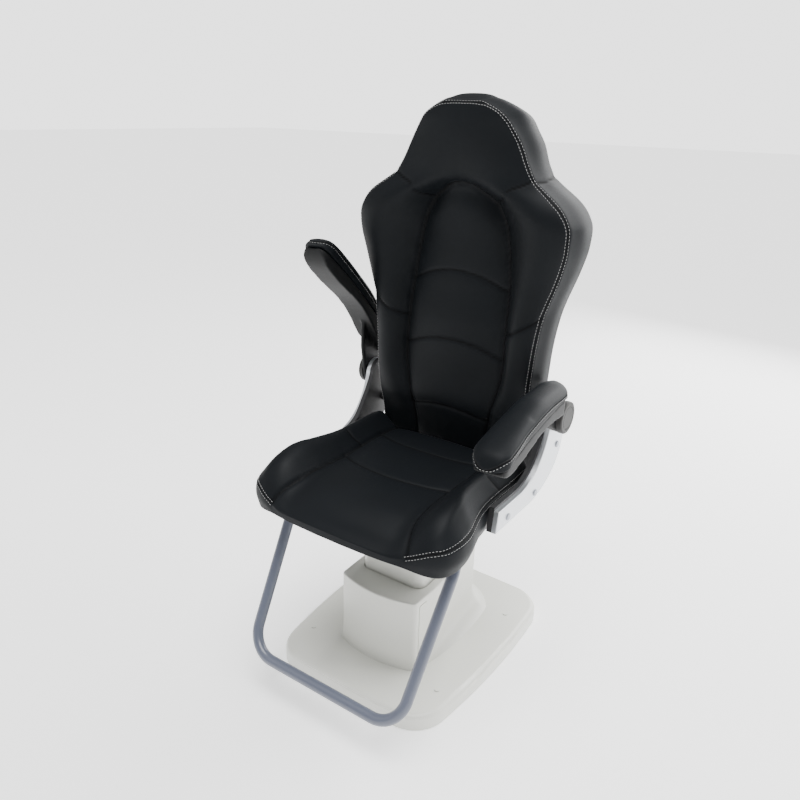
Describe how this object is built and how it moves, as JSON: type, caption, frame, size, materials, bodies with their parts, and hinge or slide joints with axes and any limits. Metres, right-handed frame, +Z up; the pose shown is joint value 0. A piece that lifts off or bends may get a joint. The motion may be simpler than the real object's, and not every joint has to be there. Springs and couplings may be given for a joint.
{
  "type": "ophthalmic examination chair",
  "caption": "Motorised examination-room patient chair: bucket seat and winged back on a telescoping column, flip-up armrests, fixed tube footrest.",
  "frame": {"origin": "on the floor, under the swivel axis of the seat", "axes": "+Z up; the patient faces -Y; +X is the patient's left"},
  "size_m": [0.653, 0.6798, 1.3],
  "materials": {
    "base_plate": "black powder coat",
    "base_cover": "moulded, satin gloss",
    "base_cover_screws": "black zinc",
    "lower_column_cover": "moulded, satin gloss",
    "lift_outer_tube": "primer grey",
    "guide_bushes": "natural nylon",
    "actuator_gearbox": "die cast",
    "actuator_motor": "black enamel",
    "actuator_tube": "extruded",
    "control_box": "textured",
    "power_inlet": "moulded",
    "foot_switch_housing": "textured",
    "foot_switch_axle": "bright",
    "foot_pedal_up": "ribbed",
    "foot_pedal_down": "ribbed",
    "upper_column_cover": "moulded, satin gloss",
    "lift_inner_tube": "zinc grey",
    "actuator_rod": "ground",
    "column_top_plate": "black powder coat",
    "swivel_lower_race": "black powder coat",
    "swivel_upper_race": "black powder coat",
    "swivel_spindle": "turned",
    "seat_frame": "black powder coat",
    "seat_board": "plywood",
    "seat_frame_bolts": "zinc plated",
    "seat_cushion": "soft grain, satin",
    "back_frame": "black powder coat",
    "back_cushion": "soft grain, satin",
    "left_side_bracket": "satin silver",
    "left_bracket_backing": "black",
    "left_bracket_bolts": "zinc plated",
    "left_bracket_caps": "silver grey",
    "left_arm_pin": "ground",
    "right_side_bracket": "satin silver",
    "right_bracket_backing": "black",
    "right_bracket_bolts": "zinc plated",
    "right_bracket_caps": "silver grey",
    "right_arm_pin": "ground",
    "footrest_tube": "blue grey enamel",
    "footrest_clamps": "black powder coat",
    "footrest_plugs": "moulded",
    "left_arm_core": "fine texture",
    "left_arm_pad": "soft grain, satin",
    "left_arm_knob": "fine texture",
    "right_arm_core": "fine texture",
    "right_arm_pad": "soft grain, satin",
    "right_arm_knob": "fine texture"
  },
  "bodies": {
    "base": {"base_plate": "base_plate", "base_cover": "base_cover", "base_cover_screws": "base_cover_screws", "lower_column_cover": "lower_column_cover", "lift_outer_tube": "lift_outer_tube", "guide_bushes": "guide_bushes", "actuator_gearbox": "actuator_gearbox", "actuator_motor": "actuator_motor", "actuator_tube": "actuator_tube", "control_box": "control_box", "power_inlet": "power_inlet", "foot_switch_housing": "foot_switch_housing", "foot_switch_axle": "foot_switch_axle"},
    "pedal_up": {"foot_pedal_up": "foot_pedal_up"},
    "pedal_down": {"foot_pedal_down": "foot_pedal_down"},
    "lift": {"upper_column_cover": "upper_column_cover", "lift_inner_tube": "lift_inner_tube", "actuator_rod": "actuator_rod", "column_top_plate": "column_top_plate", "swivel_lower_race": "swivel_lower_race"},
    "seat": {"swivel_upper_race": "swivel_upper_race", "swivel_spindle": "swivel_spindle", "seat_frame": "seat_frame", "seat_board": "seat_board", "seat_frame_bolts": "seat_frame_bolts", "seat_cushion": "seat_cushion", "back_frame": "back_frame", "back_cushion": "back_cushion", "left_side_bracket": "left_side_bracket", "left_bracket_backing": "left_bracket_backing", "left_bracket_bolts": "left_bracket_bolts", "left_bracket_caps": "left_bracket_caps", "left_arm_pin": "left_arm_pin", "right_side_bracket": "right_side_bracket", "right_bracket_backing": "right_bracket_backing", "right_bracket_bolts": "right_bracket_bolts", "right_bracket_caps": "right_bracket_caps", "right_arm_pin": "right_arm_pin", "footrest_tube": "footrest_tube", "footrest_clamps": "footrest_clamps", "footrest_plugs": "footrest_plugs"},
    "armrest_left": {"left_arm_core": "left_arm_core", "left_arm_pad": "left_arm_pad", "left_arm_knob": "left_arm_knob"},
    "armrest_right": {"right_arm_core": "right_arm_core", "right_arm_pad": "right_arm_pad", "right_arm_knob": "right_arm_knob"}
  },
  "joints": [
    {"name": "lift_slide", "type": "slide", "parent": "base", "child": "lift", "axis": [0, 0, 1], "range_m": [0, 0.18]},
    {"name": "seat_swivel", "type": "hinge", "parent": "lift", "child": "seat", "pos_m": [0, 0, 0.36], "axis": [0, 0, 1], "range_deg": [-90, 90]},
    {"name": "armrest_left_hinge", "type": "hinge", "parent": "seat", "child": "armrest_left", "pos_m": [0.2624, 0.19, 0.62], "axis": [-1, 0, 0], "range_deg": [0, 56]},
    {"name": "armrest_right_hinge", "type": "hinge", "parent": "seat", "child": "armrest_right", "pos_m": [-0.2624, 0.19, 0.62], "axis": [-1, 0, 0], "range_deg": [-55, 1]},
    {"name": "pedal_up_hinge", "type": "hinge", "parent": "base", "child": "pedal_up", "pos_m": [-0.151, 0.235, 0.059], "axis": [-1, 0, 0], "range_deg": [0, 5], "stiffness_Nm_per_rad": 3},
    {"name": "pedal_down_hinge", "type": "hinge", "parent": "base", "child": "pedal_down", "pos_m": [-0.101, 0.235, 0.059], "axis": [-1, 0, 0], "range_deg": [0, 5], "stiffness_Nm_per_rad": 3}
  ]
}
